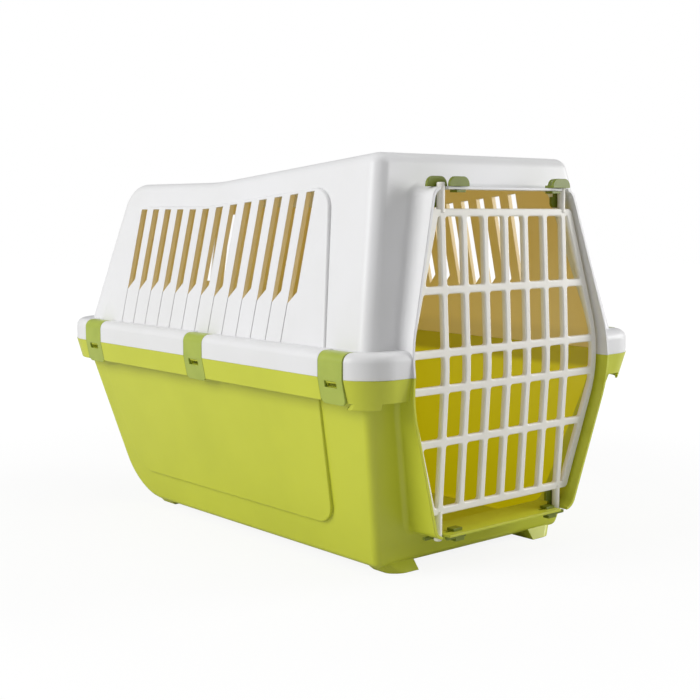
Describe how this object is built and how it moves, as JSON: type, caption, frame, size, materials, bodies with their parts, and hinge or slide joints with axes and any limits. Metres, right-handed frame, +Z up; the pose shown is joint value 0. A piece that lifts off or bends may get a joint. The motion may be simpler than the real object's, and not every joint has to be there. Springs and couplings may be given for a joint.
{
  "type": "pet carrier",
  "caption": "Moulded plastic pet carrier: slotted lid on a tub, barred swing door with slide locks, rim clips that fold open and a carry handle that folds into the roof.",
  "frame": {"origin": "on the floor under the middle of the rim's length and width", "axes": "+X to the right seen from the door, +Y from the door to the back, +Z up"},
  "size_m": [0.4002, 0.556, 0.4058],
  "materials": {
    "lime_shell": "satin moulded plastic",
    "white_shell": "satin moulded plastic",
    "door_white": "satin moulded plastic",
    "lock_green": "satin moulded plastic",
    "clip_green": "satin moulded plastic",
    "pin_steel": "plain steel"
  },
  "bodies": {
    "carrier_body": {"lower_shell": "lime_shell", "upper_shell": "white_shell", "pin_keeper_top_left": "lock_green", "pin_keeper_top_right": "lock_green", "pin_keeper_bottom_left": "lock_green", "pin_keeper_bottom_right": "lock_green", "handle_pin_front": "pin_steel", "handle_pin_rear": "pin_steel"},
    "door": {"door_grille": "door_white"},
    "slider_top_left": {"lock_slider_top_left": "lock_green"},
    "slider_top_right": {"lock_slider_top_right": "lock_green"},
    "slider_bottom_left": {"lock_slider_bottom_left": "lock_green"},
    "slider_bottom_right": {"lock_slider_bottom_right": "lock_green"},
    "clip_left_front": {"rim_clip_left_front": "clip_green"},
    "clip_left_middle": {"rim_clip_left_middle": "clip_green"},
    "clip_left_rear": {"rim_clip_left_rear": "clip_green"},
    "clip_right_front": {"rim_clip_right_front": "clip_green"},
    "clip_right_middle": {"rim_clip_right_middle": "clip_green"},
    "clip_right_rear": {"rim_clip_right_rear": "clip_green"},
    "handle": {"carry_handle": "lime_shell"}
  },
  "joints": [
    {"name": "door_swing", "type": "hinge", "parent": "carrier_body", "child": "door", "pos_m": [0.087, -0.255, 0.2], "axis": [0, 0, 1], "range_deg": [0, 115]},
    {"name": "slide_top_left", "type": "slide", "parent": "carrier_body", "child": "slider_top_left", "axis": [-1, 0, 0], "range_m": [0, 0.0095]},
    {"name": "slide_bottom_left", "type": "slide", "parent": "carrier_body", "child": "slider_bottom_left", "axis": [-1, 0, 0], "range_m": [0, 0.0095]},
    {"name": "slide_top_right", "type": "slide", "parent": "carrier_body", "child": "slider_top_right", "axis": [-1, 0, 0], "range_m": [0, 0.0095]},
    {"name": "slide_bottom_right", "type": "slide", "parent": "carrier_body", "child": "slider_bottom_right", "axis": [-1, 0, 0], "range_m": [0, 0.0095]},
    {"name": "clip_left_front_turn", "type": "hinge", "parent": "carrier_body", "child": "clip_left_front", "pos_m": [-0.1865, -0.228, 0.2215], "axis": [0, 1, 0], "range_deg": [0, 95]},
    {"name": "clip_left_middle_turn", "type": "hinge", "parent": "carrier_body", "child": "clip_left_middle", "pos_m": [-0.1865, -0.005, 0.2215], "axis": [0, 1, 0], "range_deg": [0, 95]},
    {"name": "clip_left_rear_turn", "type": "hinge", "parent": "carrier_body", "child": "clip_left_rear", "pos_m": [-0.1865, 0.203, 0.2215], "axis": [0, 1, 0], "range_deg": [0, 95]},
    {"name": "clip_right_front_turn", "type": "hinge", "parent": "carrier_body", "child": "clip_right_front", "pos_m": [0.1865, -0.228, 0.2215], "axis": [0, -1, 0], "range_deg": [0, 95]},
    {"name": "clip_right_middle_turn", "type": "hinge", "parent": "carrier_body", "child": "clip_right_middle", "pos_m": [0.1865, -0.005, 0.2215], "axis": [0, -1, 0], "range_deg": [0, 95]},
    {"name": "clip_right_rear_turn", "type": "hinge", "parent": "carrier_body", "child": "clip_right_rear", "pos_m": [0.1865, 0.203, 0.2215], "axis": [0, -1, 0], "range_deg": [0, 95]},
    {"name": "handle_fold", "type": "hinge", "parent": "carrier_body", "child": "handle", "pos_m": [-0.029, 0, 0.3665], "axis": [0, -1, 0], "range_deg": [0, 90]}
  ]
}
